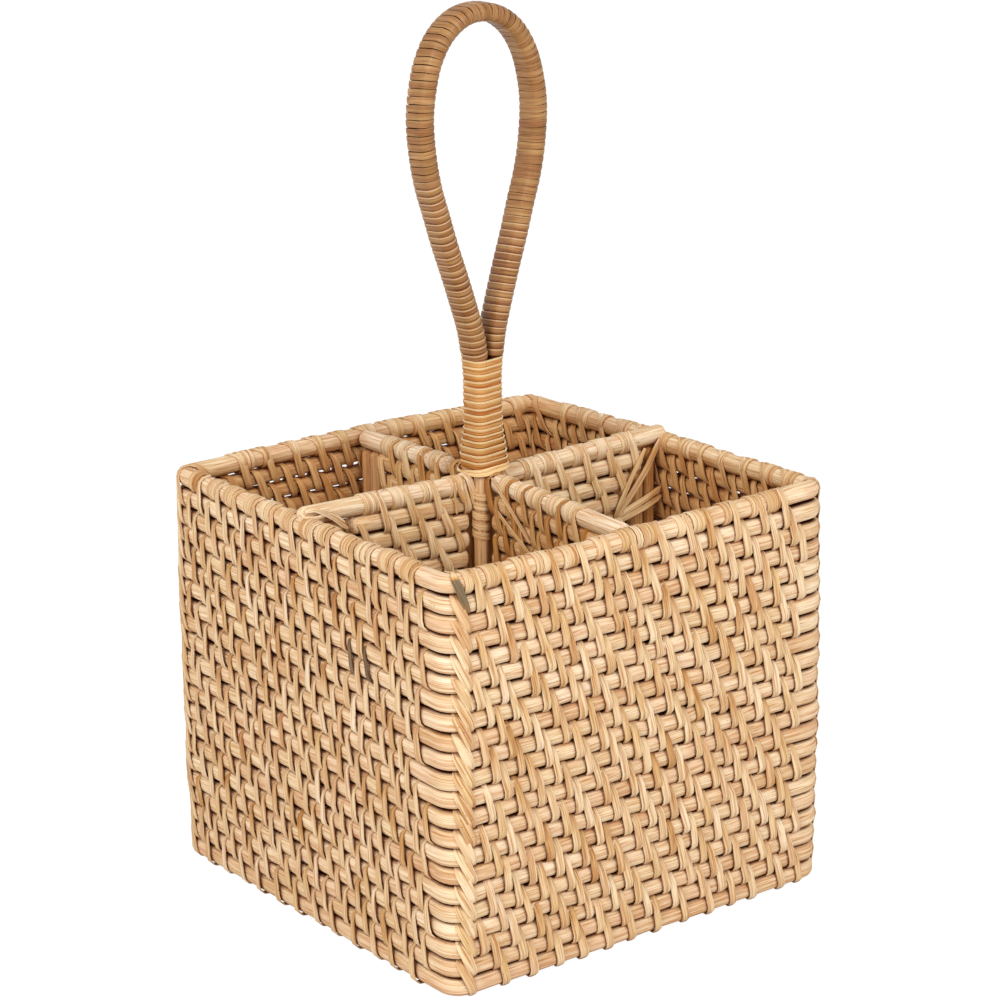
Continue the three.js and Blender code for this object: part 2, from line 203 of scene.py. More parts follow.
def make_rod(name, route, ups, radius, tint, closed=False, girth=None, dirt=None, pressed=False):
    """route holds one station per ring, and ups one direction for all or one for each."""
    rings = len(route) - 1
    deselect()
    bpy.ops.mesh.primitive_cylinder_add(
        vertices=ROD_SIDES, radius=radius * MM, depth=MM * rings,
        end_fill_type="NOTHING" if closed else "NGON", rotation=(0, math.pi / 2, 0))
    rod = bpy.context.object
    rod.name = rod.data.name = name
    bpy.ops.object.transform_apply(location=False, rotation=True, scale=True)
    parts = next(n for n in range(math.ceil(rings / MOST_CUTS), rings + 1) if rings % n == 0)
    for cuts in (rings // parts - 1, parts - 1):
        for thing in [*rod.data.polygons, *rod.data.vertices]:
            thing.select = False
        for edge in rod.data.edges:
            a, b = (rod.data.vertices[i].co.x for i in edge.vertices)
            edge.select = abs(a - b) > MM / 2
        bpy.ops.object.mode_set(mode="EDIT")
        if cuts > 0:
            bpy.ops.mesh.subdivide(number_cuts=cuts)
        bpy.ops.object.mode_set(mode="OBJECT")

    straight = points_of(rod)
    ring = np.clip(np.rint(straight[:, 0] + rings / 2).astype(int), 0, rings)
    ends = np.vstack([route[-2], route, route[1]]) if closed else carried_on(route)
    along = unit(ends[2:] - ends[:-2])
    across = unit(np.cross(ups, along))
    upward = np.cross(along, across)
    thick = np.ones(rings + 1) if girth is None else girth
    y, z = straight[:, 1] * thick[ring], straight[:, 2] * thick[ring]
    if pressed:
        length = np.maximum(np.hypot(y, z), 1e-6)
        fuller = np.abs(y / length) ** SQUARENESS + np.abs(z / length) ** SQUARENESS
        fuller = fuller ** (-1 / SQUARENESS)
        y, z = y * fuller, z * fuller
    set_points(rod, route[ring] + across[ring] * y[:, None] + upward[ring] * z[:, None])

    travel = travel_along(route)
    note(rod, "lay", np.column_stack([travel[ring] + 1000 * tint, y, z]) * MM)
    note(rod, "tint", np.full(len(ring), tint))
    note(rod, "edge", np.zeros(len(ring)))
    note(rod, "dirt", np.zeros(len(ring)) if dirt is None else dirt(travel[ring], y, z))
    if closed:
        activate(rod)
        bpy.ops.object.mode_set(mode="EDIT")
        bpy.ops.mesh.select_all(action="SELECT")
        bpy.ops.mesh.remove_doubles(threshold=0.02 * MM)
        bpy.ops.mesh.normals_make_consistent(inside=False)
        bpy.ops.object.mode_set(mode="OBJECT")
    activate(rod)
    bpy.ops.object.shade_smooth_by_angle(angle=math.radians(50))
    return rod


def rounded_ends(travel, radius):
    """Shares of full girth along a rod whose cut ends are rubbed round."""
    near = np.minimum(travel - travel[0], travel[-1] - travel)
    missing = np.clip(1 - near / (radius * END_LENGTH), 0, None)
    return np.sqrt(np.clip(1 - missing ** 2, 0.06, 1))


def end_stations(length, radius, step=5.0):
    """Distances along a rod: close together at its ends, where it is rounded."""
    tip = radius * END_LENGTH * np.array([0, 0.05, 0.2, 0.5, 1.0])
    middle = np.linspace(tip[-1], length - tip[-1], max(2, int(length / step)))
    return np.concatenate([tip[:-1], middle, length - tip[:-1][::-1]])


# %% [markdown]
# ## A strip
# A flat grid two squares wide is laid along its route. The middle line stands a little higher
# than the edges, because split rattan keeps some of the round of its stem. Then the strip
# gets its thickness.


# %% Strips
def make_strip(name, route, outward, widths, thickness, tints, crown=0.12, wrap=None, shift=0.0,
               twist=0.0, edging=0.0):
    """Widths, tints, twist and edging may hold one value per station. wrap bends the result."""
    route, steps = np.array(route), len(route) - 1
    deselect()
    bpy.ops.mesh.primitive_grid_add(x_subdivisions=steps, y_subdivisions=2, size=1)
    strip = bpy.context.object
    strip.name = strip.data.name = name
    flat = points_of(strip) * MM
    ring = np.rint((flat[:, 0] + 0.5) * steps).astype(int)
    side = np.rint(flat[:, 1] * 2)
    ends = carried_on(route)
    along = unit(ends[2:] - ends[:-2])
    across = unit(np.cross(outward, along))
    out = unit(np.cross(along, across))
    twist, widths, tints, edging = (
        np.broadcast_to(values, steps + 1) for values in (twist, widths, tints, edging))
    cos, sin = np.cos(twist)[:, None], np.sin(twist)[:, None]
    across, out = across * cos + out * sin, out * cos - across * sin
    half = side * widths[ring] / 2
    lift = crown * (1 - side ** 2)
    place = route[ring] + across[ring] * half[:, None] + out[ring] * lift[:, None]
    set_points(strip, place if wrap is None else wrap(place))
    travel = travel_along(route)
    note(strip, "lay", np.column_stack([travel[ring] + shift, half, lift]) * MM)
    note(strip, "tint", tints[ring])
    note(strip, "edge", side * edging[ring])
    note(strip, "dirt", np.zeros(len(ring)))
    activate(strip)
    outer = out[ring] if wrap is None else wrap(place + out[ring]) - wrap(place)
    normals = np.empty(len(ring) * 3)
    strip.data.vertices.foreach_get("normal", normals)
    if (normals.reshape(-1, 3) * outer).sum() < 0:
        bpy.ops.object.mode_set(mode="EDIT")
        bpy.ops.mesh.select_all(action="SELECT")
        bpy.ops.mesh.flip_normals()
        bpy.ops.object.mode_set(mode="OBJECT")
    skin = strip.modifiers.new("thickness", "SOLIDIFY")
    skin.thickness = thickness * MM
    skin.offset = 1
    bpy.ops.object.modifier_apply(modifier=skin.name)
    bpy.ops.object.shade_smooth_by_angle(angle=math.radians(40))
    return strip


# %% [markdown]
# ## Round the walls
# The walls are worked out flat, as (distance round the box, distance out, height), and then
# wrapped round its four corners. The seam lies at the far corner. The walls bow out a little
# halfway up, and each rod wanders by a few tenths of a millimetre.

# %% The wander of each course
WANDER = 0.2
sample = np.arange(0, AROUND, 1.0)


def wander_table():
    table = np.zeros((COURSES, len(sample)))
    for course in range(COURSES):
        for waves in range(4, 22):
            phase, size = chance.uniform(0, 2 * math.pi), chance.normal(0, WANDER / 3)
            table[course] += size * np.sin(2 * math.pi * waves * sample / AROUND + phase)
    return table


wander_up, wander_out = wander_table(), wander_table()
print("a rod strays up to", round(float(abs(wander_up).max()), 2), "mm")


def look_up(table, course, distance):
    low = np.clip(np.floor(course).astype(int), 0, COURSES - 1)
    high = np.minimum(low + 1, COURSES - 1)
    share = np.clip(course - low, 0, 1)
    column = np.mod(distance, AROUND) / AROUND * len(sample)
    left = np.floor(column).astype(int) % len(sample)
    right = (left + 1) % len(sample)
    mix = column - np.floor(column)
    rows = [table[k, left] * (1 - mix) + table[k, right] * mix for k in (low, high)]
    return rows[0] * (1 - share) + rows[1] * share


# %% Wrapping a flat wall round the box
def round_walls(flat):
    distance, out, height = flat[:, 0], flat[:, 1], flat[:, 2]
    course = np.clip((height - ROD / 2) / COURSE_PITCH, 0, COURSES - 1)
    out = out + WALL_BOW * np.sin(math.pi * course / (COURSES - 1)) + look_up(wander_out, course, distance)
    s = np.mod(distance, AROUND)
    rise = np.interp(2 * (s + SIDE_BEND / 2) / SIDE, range(9), RIM_RISES) * (course / (COURSES - 1)) ** 2
    height = height + look_up(wander_up, course, distance) * (course > 0.4) + rise
    side = np.minimum(np.floor(s / SIDE), 3)
    local = s - side * SIDE
    angle = np.clip(local - SIDE_STRAIGHT, 0, None) / CORNER_RADIUS
    run = np.minimum(local, SIDE_STRAIGHT)
    inner = WALL_HALF - CORNER_RADIUS
    x = -inner + run + (CORNER_RADIUS + out) * np.sin(angle)
    y = -inner - (CORNER_RADIUS + out) * np.cos(angle)
    turn = (side + 2) * math.pi / 2
    return np.column_stack([
        x * np.cos(turn) - y * np.sin(turn), x * np.sin(turn) + y * np.cos(turn), height])


def course_height(course):
    return ROD / 2 + COURSE_PITCH * course


# %% [markdown]
# ## Where the stitches go
# A stitch goes up on the outside over two rods, and comes back down on the inside to start the
# next one. A row is known by the place of each stitch on its lower rod. The next row down
# starts a little further on, so the stitches make diagonals. Each corner has a slanting one.

# %% The places of each row
STITCH_STEP = 4.4
STITCH_STRAY = 0.4
FACE_REACH = 71.5
BACK, LEFT, FRONT, RIGHT = range(4)
FIRST_PLACE = {BACK: -30.0, LEFT: -27.0, FRONT: -59.9, RIGHT: -41.0}
PLACE_PITCH = {BACK: 11.3, LEFT: 11.6, FRONT: 11.2, RIGHT: 11.4}
CORNER_LOW, CORNER_HIGH = 4.4, 0.9

diagonal_stray = {side: chance.normal(0, 0.7, 80) for side in range(4)}


def middle_of(side):
    return side * SIDE + SIDE_STRAIGHT / 2


def row_places(row):
    """row counts down from the rim. Returns places on the lower rod, from right to left."""
    places, is_corner = [], []
    for side in reversed(range(4)):
        places.append(side * SIDE + SIDE_STRAIGHT + SIDE_BEND / 2)
        is_corner.append(True)
        numbers = np.arange(-30, 30)
        face = FIRST_PLACE[side] + STITCH_STEP * row + PLACE_PITCH[side] * numbers
        face = face + diagonal_stray[side][numbers + 30] + chance.normal(0, STITCH_STRAY, len(face))
        for place in face[np.abs(face) < FACE_REACH][::-1]:
            places.append(middle_of(side) + place)
            is_corner.append(False)
    return np.array(places), np.array(is_corner)


rows = {row: row_places(row) for row in range(COURSES - 1)}
print("stitches in the first row:", len(rows[0][0]))

# %% [markdown]
# ## The wall rods
# Painted shade and brown dust darken the thin groove between two rods. Each point notes how
# deep it lies, from 0 on the crown of a rod to 1 in the groove, and is painted that much darker.
# The top of the rim stays clean.

# %% Wall rods
ALONG_SIDE, ROUND_CORNER = 40, 5
side_stations = np.concatenate([
    np.linspace(0, SIDE_STRAIGHT, ALONG_SIDE, endpoint=False),
    np.linspace(SIDE_STRAIGHT, SIDE, ROUND_CORNER, endpoint=False)])
ROD_STATIONS = np.concatenate([side_stations + side * SIDE for side in range(4)] + [[AROUND]])


GROOVE = (0.82, 0.92)  # the painted groove shade and dust begin, and are deepest, at these shares of the radius, up or down


# Painted shade and dust: the deeper a point lies in the groove, the darker it is painted.
def groove_shade_and_dust(radius, top=True):
    def dirt(travel, y, z):
        depth = np.interp(np.abs(z) / radius, GROOVE, (0, 1))
        return depth if top else depth * (z < 0)
    return dirt


# Just under the rim, the rods of the back and right walls are a little lean, and small slits
# show between them. How lean, by the distance from the far corner, less than 0 on the right:
LEAN_COURSES = range(16, 21)
LEAN_GIRTH = 0.83
LEANNESS = {-SIDE: 0, 20 - SIDE: 1, -14: 0.8, -4: 0, 4: 0, 20: 1, 150: 1, SIDE: 0}
RIM_TINT = 0.4

for course in range(COURSES):
    is_rim = course == COURSES - 1
    girth = np.ones(len(ROD_STATIONS))
    if course in LEAN_COURSES:
        from_corner = (ROD_STATIONS + SIDE) % AROUND - SIDE
        leanness = np.interp(from_corner, list(LEANNESS), list(LEANNESS.values()))
        girth -= (1 - LEAN_GIRTH) * leanness * chance.uniform(0.75, 1.1)
    radius = (RIM_ROD if is_rim else ROD_FULL) / 2
    flat = np.column_stack([ROD_STATIONS, 0 * ROD_STATIONS, 0 * ROD_STATIONS + course_height(course)])
    route = round_walls(flat)
    route[-1] = route[0]
    tint = RIM_TINT if is_rim else chance.uniform(0.25, 0.62)
    rod = make_rod(f"course_{course + 1:02d}", route, (0, 0, 1), radius, tint, closed=True, girth=girth,
                   dirt=groove_shade_and_dust(radius, top=not is_rim), pressed=not is_rim)
    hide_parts("rim_rod" if is_rim else f"wall_rod_{course + 1:02d}")
print("wall rods:", COURSES)

# %% [markdown]
# ## The lashing
# One turn of a row: up over the two rods on the outside, straight across the groove between
# them, and down on the inside. The angles are in degrees from straight out, on the lower rod
# first. The widths, lifts and twists have one value for each angle.

# %% One turn round two rods
LOWER_ANGLES = (-90, -58, -28, 0)
UPPER_ANGLES = (0, 28, 58, 90, 122, 152, 180)
INNER_ANGLES = (180, 208, 238)
OUTSIDE_STEPS = 7
TURN_WIDTHS = [2.0, 2.6, 2.9, 2.8, 2.6, 2.5, 2.4, 2.2, 1.8, 2.4, 2.8, 2.8, 2.6, 2.3]
TURN_LIFTS = [0.5, 0.8, 0.9, 0.8, 0.2, 0.05, 0.0, 0.0, 0.0, 0.0, 0.0, 0.05, 0.1, 0.2]
TURN_SLANT = [0.8, 0.6, 0.3, 0.0, -1.2, -1.6, -1.4, -0.8]
INSIDE_SHARE = [0.0, 0.22, 0.32, 0.4, 0.62, 0.72, 0.8]
TURN_TWIST = np.radians([0, 0, 2, 4, 9, 12, 9, 4, 0, 0, 0, 0, 0, 0])
CORNER_INSIDE_WIDTH = 2.2
LAST_STEP = 11.0  # how far the last turn of a row goes on
TOP_SHADE_AND_GOLD_TURNS = 0.4  # this share of the turns is darker and more gold on the crown: painted shade where the strip comes out of the groove, and gold skin
DARKEST, STAIN, STAIN_INSIDE = 0.75, 1.0, 0.4  # tints: a stained turn is dark on the outside only


def turn_section(low_height, low_radius, high_height, high_radius):
    """Radius, centre height and angle of each step of one turn."""
    low, high = (low_radius, low_height), (high_radius, high_height)
    parts = ((low, LOWER_ANGLES), (high, UPPER_ANGLES), (low, INNER_ANGLES))
    return [(*rod, math.radians(angle)) for rod, angles in parts for angle in angles]


def lash(name, places, sections, widths, tints, wrap, is_corner=None, lean=1.0):
    """A whole row as one strip. places are where it crosses its lower rod, from right to left."""
    count = len(places)
    is_corner = np.zeros(count, bool) if is_corner is None else is_corner
    route, outward, width, tint, twist = [], [], [], [], []
    for n in range(count):
        gets_top_shade_and_gold = chance.uniform() < TOP_SHADE_AND_GOLD_TURNS and not is_corner[n]
        top_shade_and_gold = chance.uniform(0.05, 0.28) if gets_top_shade_and_gold else 0.0
        looseness = chance.uniform(0.6, 1.25)
        slant = np.array(TURN_SLANT) * lean * chance.uniform(0.7, 1.4)
        next_place = places[n + 1] if n + 1 < count else places[n] - LAST_STEP
        low_height = sections[0][1] - sections[0][0]
        high_height = sections[OUTSIDE_STEPS][1] + sections[OUTSIDE_STEPS][0]
        for i, (r, h, a) in enumerate(sections):
            reach = r + CLEARANCE + TURN_LIFTS[i] * (0.35 if is_corner[n] else looseness)
            height = h + reach * math.sin(a)
            share = (height - low_height) / (high_height - low_height)
            if is_corner[n]:
                top, bottom = places[n] + CORNER_HIGH, places[n] + CORNER_LOW
                start = bottom + (top - bottom) * share
            else:
                top = places[n] + slant[-1]
                start = places[n] + slant[min(i, OUTSIDE_STEPS)]
            if i > OUTSIDE_STEPS:
                landing = next_place + (CORNER_LOW if n + 1 < count and is_corner[n + 1] else slant[0])
                start = top + (landing - top) * INSIDE_SHARE[i - OUTSIDE_STEPS]
            route.append([start, reach * math.cos(a), height])
            outward.append([0, math.cos(a), math.sin(a)])
            is_plain = i <= OUTSIDE_STEPS or not is_corner[n]
            width.append(TURN_WIDTHS[i] * widths[n] if is_plain else CORNER_INSIDE_WIDTH)
            if tints[n] == STAIN:
                tint.append(STAIN if i < OUTSIDE_STEPS - 1 else STAIN_INSIDE)
            else:
                # Painted shade and gold skin: the top of some turns, from the crown into the groove, is
                # darker.
                tint.append(min(tints[n] + top_shade_and_gold * (4 <= i <= 7), DARKEST))
            twist.append(0.0 if is_corner[n] else TURN_TWIST[i] * looseness)
    return make_strip(name, route, outward, width, STRIP_THICKNESS, tint, wrap=wrap,
                      shift=1000 * chance.uniform(), twist=twist)


# %% Lashing rows of the walls
STAINED = [(5, LEFT, 46.0), (5, LEFT, 34.5), (0, LEFT, SIDE / 2)]  # row, side, place in mm
STAIN_WIDTH, CORNER_WIDTH = 0.62, 0.85  # shares of a plain turn's width

for row in range(COURSES - 1):
    lower = COURSES - 2 - row
    upper_radius = (RIM_ROD if row == 0 else ROD_FULL) / 2
    places, is_corner = rows[row]
    section = turn_section(course_height(lower), ROD_FULL / 2, course_height(lower + 1), upper_radius)
    count = len(places)
    plain_tints = np.clip(chance.normal(0.34, 0.12, count), 0, 0.7)
    tints = np.where(is_corner, chance.uniform(0.25, 0.5, count), plain_tints)
    widths = np.where(is_corner, CORNER_WIDTH, chance.uniform(0.82, 1.12, count))
    for stained_row, side, place in STAINED:
        if stained_row == row:
            stained = np.argmin(np.abs(places - middle_of(side) - place))
            tints[stained], widths[stained] = STAIN, STAIN_WIDTH
    lash(f"lashing_row_{row + 1:02d}", places, section, widths, tints, round_walls, is_corner)
print("lashing rows:", len(rows), "with", sum(len(rows[r][0]) for r in rows), "stitches")

# %% [markdown]
# ## The second strip on the rim
# Beside each stitch are one or two turns round the rim rod alone, and a few more where the
# short divider meets the front wall.

# %% Rim turns
RIM_TURN_OFFSETS = (4.4, 7.3)
RIM_TURN_STEPS = 12
RIM_TURN_WIDTH = 2.9
EXTRA_RIM_TURNS = (-6.5, -3.4, -0.4)  # from the middle of the front


def rod_turn(name, place, wrap, height, radius, width, tint, lean=0.8):
    angles = np.linspace(-0.5, 1.5, RIM_TURN_STEPS + 1) * math.pi
    reach = radius + CLEARANCE + 0.03 * np.linspace(0, 1, len(angles))
    lean_share = np.linspace(-0.5, 0.5, len(angles))
    route = np.column_stack([
        place - lean * lean_share, reach * np.cos(angles), height + reach * np.sin(angles)])
    outward = np.column_stack([0 * angles, np.cos(angles), np.sin(angles)])
    return make_strip(name, route, outward, width, STRIP_THICKNESS * 1.15, tint, wrap=wrap,
                      shift=1000 * chance.uniform())


turns = []
for n, place in enumerate(rows[0][0]):
    if rows[0][1][n]:
        continue
    on_left = SIDE < place < 2 * SIDE
    for offset in RIM_TURN_OFFSETS[:2 if on_left or chance.uniform() < 0.35 else 1]:
        turns.append(rod_turn(
            f"rim_turn_{n}_{offset}", place - offset, round_walls, RIM_HEIGHT, RIM_ROD / 2,
            RIM_TURN_WIDTH * chance.uniform(0.85, 1.05), np.clip(chance.normal(0.4, 0.12), 0, 0.7)))
for n, place in enumerate(EXTRA_RIM_TURNS):
    turns.append(rod_turn(f"rim_extra_{n}", middle_of(FRONT) + place, round_walls, RIM_HEIGHT,
                          RIM_ROD / 2 + 0.25, 2.6, chance.uniform(0.15, 0.5)))
join("rim_turns", turns)
print("turns on the rim:", len(turns))

# %% [markdown]
# ## Dividers
# Each half of a divider is a stack of rods cut a little short of the wall, lashed like the
# walls. It is worked out flat too, as (distance from the crossing, sideways, height). Its top
# rod is lashed on with the same turns, and takes extra turns of its own. All stitches face
# the front or the left.

# %% Sizes of the dividers
DIVIDER_COURSES = 20
DIVIDER_START = 7.4
DIVIDER_BOTTOM = COURSE_PITCH + ROD / 2
DIVIDER_PITCH = 6.83
TOP_ROD = 6.8
STAKE = 5.0
STAKE_PLACES = (73.7, 68.3)
DIVIDER_LEAN = 1.7
EXTRA_TURNS = (3.3, 5.6, 7.8)
OVER_RIM, UNDER_RIM = (1.2, 3.2, -2.0), (2.0, 0.5, -0.2)
RISING_FROM, COURSE_RISE = 17, 0.45  # the last courses follow a top rod that goes over the rim
RIGHT_ENDS = (9.0, 6.3, 0.8, -4.9)  # the right half's last four courses end this far before its stakes
# The tint is painted shade and light: darker on the front and back halves, whose faces lie in
# shade, and paler on the right and left halves, to stand in for light. The quarter turn, the side
# faced, the distance to the wall, the top rod's height over the rim at both ends and its reach
# past it, its start, the tint and the step of the stitches:
HALVES = {
    "right": (0, 1, WALL_HALF - CROSSING[0], OVER_RIM, DIVIDER_START, 0.06, 11.6),
    "back": (1, -1, WALL_HALF - CROSSING[1], UNDER_RIM, 18.5, 0.4, 9.6),
    "left": (2, -1, WALL_HALF + CROSSING[0], OVER_RIM, DIVIDER_START, 0.06, 11.6),
    "front": (3, 1, WALL_HALF + CROSSING[1], UNDER_RIM, DIVIDER_START, 0.55, 9.6),
}


def divider_height(course):
    return DIVIDER_BOTTOM + DIVIDER_PITCH * (course - 1)


def from_crossing(turn, face):
    angle = turn * math.pi / 2
    ahead = np.array([math.cos(angle), math.sin(angle), 0])
    aside = np.array([math.sin(angle), -math.cos(angle), 0]) * face
    return lambda flat: (CROSSING + flat[:, :1] * ahead + flat[:, 1:2] * aside
                         + flat[:, 2:] * np.array([0, 0, 1.0]))


def straight_rod(name, start, end, radius, tint, wrap, dirt=None, pressed=False, stray=0.15):
    start, end = np.array(start, float), np.array(end, float)
    length = np.linalg.norm(end - start)
    travel = end_stations(length, radius)
    route = start + (end - start) * (travel / length)[:, None]
    route[:, 1] += chance.normal(0, stray) * np.sin(math.pi * travel / length)
    route = wrap(route)
    upright = abs(route[-1, 2] - route[0, 2]) > length / 2
    return make_rod(name, route, (1, 0, 0) if upright else (0, 0, 1), radius, tint,
                    girth=rounded_ends(travel, radius), dirt=dirt, pressed=pressed)


# %% Divider rods, top rods, stakes and their lashing
for name, (turn, face, wall, top_end, top_start, half_shade_tint, pitch) in HALVES.items():
    wrap, over_rim = from_crossing(turn, face), top_end == OVER_RIM
    stakes = [place + wall - WALL_HALF for place in STAKE_PLACES]
    reach = stakes[1] - STAKE / 2 - 0.4
    ends = reach - chance.uniform(0.0, 4.5, DIVIDER_COURSES + 1)
    if name == "right":
        ends[-4:] = reach - np.array(RIGHT_ENDS)
    parts = []
    for course in range(1, DIVIDER_COURSES + 1):
        z = divider_height(course)
        parts.append(straight_rod(
            f"{name}_{course}", (DIVIDER_START + chance.uniform(0, 0.8), 0, z),
            (ends[course], 0, z + over_rim * max(0, course - RISING_FROM) * COURSE_RISE),
            ROD_FULL / 2, half_shade_tint + chance.uniform(-0.06, 0.15), wrap,
            dirt=groove_shade_and_dust(ROD_FULL / 2), pressed=True))
    rods = join(f"divider_{name}_rods", parts)
    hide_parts(f"divider_{name}")

    inner_z, outer_z = RIM_HEIGHT + top_end[0], RIM_HEIGHT + top_end[1]
    end = wall + (RIM_ROD if over_rim else -RIM_ROD) / 2 + top_end[2]
    top = straight_rod(f"divider_{name}_top", (top_start, 0, inner_z), (end, 0, outer_z),
                       TOP_ROD / 2, chance.uniform(0.05, 0.25), wrap)
    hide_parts(f"divider_{name}_top_rod")
    rise = (outer_z - inner_z) / (end - top_start)

    for place, which in zip(stakes, ("outer", "inner")):
        top_z = inner_z + rise * (place - top_start) - TOP_ROD / 2 - 0.2
        if which == "inner" and name == "right":
            top_z = divider_height(DIVIDER_COURSES) - ROD_FULL / 2 - 0.2
        stake = straight_rod(f"divider_{name}_{which}", (place, 0, ROD + 0.3), (place, 0, top_z),
                             STAKE / 2, chance.uniform(0.5, 0.8), wrap)
        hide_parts(f"divider_{name}_{which}_stake")

    strips = []
    for row in range(DIVIDER_COURSES):
        lower = DIVIDER_COURSES - row
        first = DIVIDER_START + 3 + (face * STITCH_STEP * row) % pitch
        places = np.arange(first, min(ends[lower], reach + 3) - 2.0, pitch)
        if len(places) == 0:
            continue
        if face == 1:
            places = places[::-1]
        places = places + chance.normal(0, STITCH_STRAY, len(places))
        upper_z = divider_height(lower + 1)
        if row == 0:
            upper_z = inner_z + rise * (places.mean() - top_start)
        section = turn_section(divider_height(lower), ROD_FULL / 2, upper_z,
                               (TOP_ROD if row == 0 else ROD_FULL) / 2)
        tints = np.clip(half_shade_tint + chance.normal(0.1, 0.1, len(places)), 0, 0.8)

        def follow_top(flat):
            """Lifts what lies on the sloping top rod."""
            on_top = np.clip((flat[:, 2] - divider_height(DIVIDER_COURSES)) / COURSE_PITCH, 0, 1)
            lift = rise * (flat[:, 0] - places.mean()) * on_top
            return wrap(flat + np.array([0, 0, 1.0]) * lift[:, None])

        strips.append(lash(f"{name}_{row}", places, section, chance.uniform(0.9, 1.15, len(places)),
                           tints, follow_top if row == 0 else wrap, lean=DIVIDER_LEAN * face))
        if row == 0:
            for n, place in enumerate(places):
                for extra in EXTRA_TURNS[:chance.integers(2, 4)]:
                    spot = place - extra * face
                    z = inner_z + rise * (spot - top_start)
                    if top_start + 1.5 < spot < reach:
                        strips.append(rod_turn(f"{name}_turn_{n}_{extra}", spot, wrap, z, TOP_ROD / 2,
                                               chance.uniform(1.9, 2.5), chance.uniform(0.05, 0.35),
                                               lean=face * chance.uniform(0.6, 1.4)))
    join(f"divider_{name}_lashing", strips)
print("divider halves:", len(HALVES), "of", DIVIDER_COURSES, "rods each")

# %% [markdown]
# ## Smooth routes
# The handle and the ties follow a few chosen points. A smooth curve passes through all of
# them, and its stations are then spread evenly.


# %% A smooth route through points
def smooth_route(points, stations):
    p = carried_on(np.array(points, float))
    fine = []
    for i in range(1, len(p) - 2):
        t = np.linspace(0, 1, 24, endpoint=False)[:, None]
        a, b, c, d = p[i - 1:i + 3]
        fine.append(0.5 * (2 * b + (c - a) * t + (2 * a - 5 * b + 4 * c - d) * t ** 2
                           + (3 * b - a - 3 * c + d) * t ** 3))
    fine = np.vstack(fine + [p[-2:-1]])
    travel = travel_along(fine)
    wanted = np.linspace(0, travel[-1], stations)
    return np.column_stack([np.interp(wanted, travel, fine[:, i]) for i in range(3)]), travel[-1]


# %% [markdown]
# ## The handle
# Two rods are each bent double into a teardrop. Below it all four ends run side by side down
# the neck, and on between the divider halves as posts. The loop leans a little to one side.

# %% Handle rods
HANDLE_ROD = 5.0
HANDLE_SPACING = 5.4
NECK_BOTTOM = 150.5
FORK = 191.0
LOOP_SHIFT = 0.5
WOUND_FROM = NECK_BOTTOM - 2  # distance along a rod where its windings begin
# Points of one side, as the distance from the middle and the height:
TEARDROP = [
    (4.9, 201.1), (8.1, 212.1), (11.6, 223.1), (15.0, 233.1), (18.3, 244.1), (21.4, 254.1), (23.5, 265.1),
    (24.4, 277.1), (23.3, 287.1), (20.5, 297.0), (15.3, 305.3), (8.0, 310.6), (0.0, 312.2)]
POSTS = [
    (4.2, 6.5), (4.2, 70.0), (4.2, 135.0), (3.4, NECK_BOTTOM), (2.5, 165.0), (2.5, 184.0), (3.2, FORK)]


def leaned(points):
    points = np.array(points, float)
    points[:, 0] += LOOP_SHIFT * np.interp(points[:, 2], [NECK_BOTTOM, 160, 200, 240, 290, 312],
                                           [0, 1, 1, -0.1, -0.1, -0.6])
    return points


def handle_points(spread):
    side = [(x, spread * (x if z < 165 else HANDLE_SPACING / 2), z) for x, z in POSTS]
    side += [(x, spread * HANDLE_SPACING / 2, z) for x, z in TEARDROP]
    return side + [(-x, y, z) for x, y, z in side[-2::-1]]


for name, spread in (("front", -1), ("back", 1)):
    route, length = smooth_route(leaned(handle_points(spread)), 261)
    # Painted shade: the rod is darkened where the windings cover it, so the gaps between the turns look
    # dark.
    rod = make_rod(
        f"handle_core_{name}", route + CROSSING, (0, 1, 0), HANDLE_ROD / 2, chance.uniform(0.6, 0.75),
        dirt=lambda travel, y, z: 1.0 * (np.abs(travel - length / 2) < length / 2 - WOUND_FROM))
    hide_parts(f"handle_rod_{name}")
print("handle rods are", round(length), "mm long")

# %% [markdown]
# ## The windings of the handle
# A strip is wound round both rods of the loop, with small gaps between its turns, and another
# round all four in the neck, where the turns overlap. The upper edge of a turn stands proud
# of the one above. On the neck and the lower half of the loop it is painted pale, as a painted
# highlight and paler worn skin, and the lower edge of each turn is painted darker as painted shade.


# %% Outlines that a winding follows
def wound_outline(half_x, half_y, radius, share):
    """The place and direction at a share of the way round four rods."""
    corner = radius * math.pi / 2
    lengths = np.array([corner, 2 * half_x, corner, 2 * half_y] * 2)
    marks = np.concatenate([[0], np.cumsum(lengths)])
    travel = share * marks[-1]
    part = int(np.clip(np.searchsorted(marks, travel, side="right") - 1, 0, 7))
    within = travel - marks[part]
    quarter, is_straight = divmod(part, 2)
    angle = (quarter + is_straight) * math.pi / 2 + (0 if is_straight else within / radius)
    way = np.array([math.cos(angle), math.sin(angle)])
    centre = np.array([(1, 1), (-1, 1), (-1, -1), (1, -1)][quarter]) * (half_x, half_y)
    slide = within * is_straight * np.array([-way[1], way[0]])
    return centre + slide + radius * way, way


WINDING_PADDING, WINDING_THICKNESS = 0.2, 0.45


